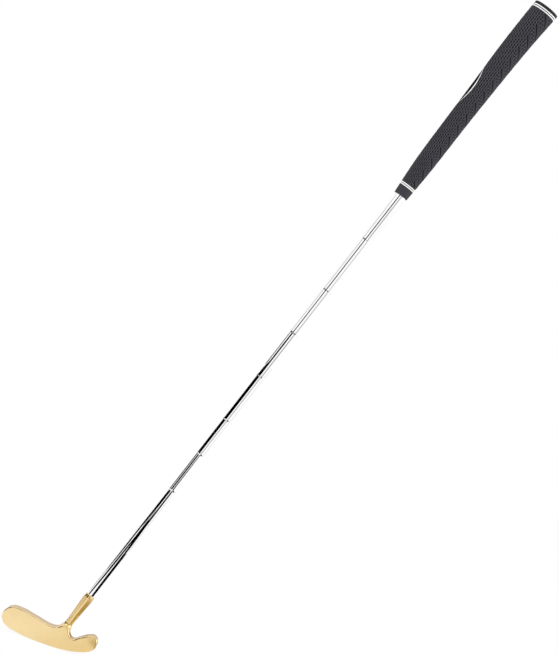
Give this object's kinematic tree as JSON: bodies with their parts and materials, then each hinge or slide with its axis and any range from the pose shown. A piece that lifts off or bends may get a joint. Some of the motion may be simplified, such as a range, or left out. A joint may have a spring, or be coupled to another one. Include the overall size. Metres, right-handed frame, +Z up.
{
  "type": "golf putter",
  "caption": "Two-way golf putter: flat double-faced blade head with a short leaning hosel, stepped chromed tube shaft and pistol-shaped rubber grip.",
  "frame": {"origin": "middle of the flat land on the sole, where the putter stands at address", "axes": "+Z up, +X from toe to heel (the shaft leans 18 degrees from upright towards +X), +Y from the front striking face to the back one; Y = 0 is the plane of symmetry"},
  "size_m": [0.3513, 0.0278, 0.8497],
  "materials": {
    "head_metal": "fine satin polish, pale gold",
    "shaft_chrome": "mirror chrome",
    "bond_resin": "set epoxy, amber",
    "tape_paper": "creped paper tape",
    "grip_rubber": "matte, moulded with chevron grooves and dimples",
    "cap_rubber": "smooth satin",
    "white_inlay": "satin white fill",
    "panel_gloss": "glossy black"
  },
  "bodies": {
    "root": {"head": "head_metal", "shaft": "shaft_chrome", "shaft_bond": "bond_resin", "grip_tape": "tape_paper", "grip_sleeve": "grip_rubber", "grip_cap": "cap_rubber", "mouth_ring_lower": "white_inlay", "mouth_ring_upper": "white_inlay", "cap_ring_lower": "white_inlay", "cap_ring_upper": "white_inlay", "thumb_panel": "panel_gloss", "thumb_panel_rim": "white_inlay"}
  },
  "joints": []
}
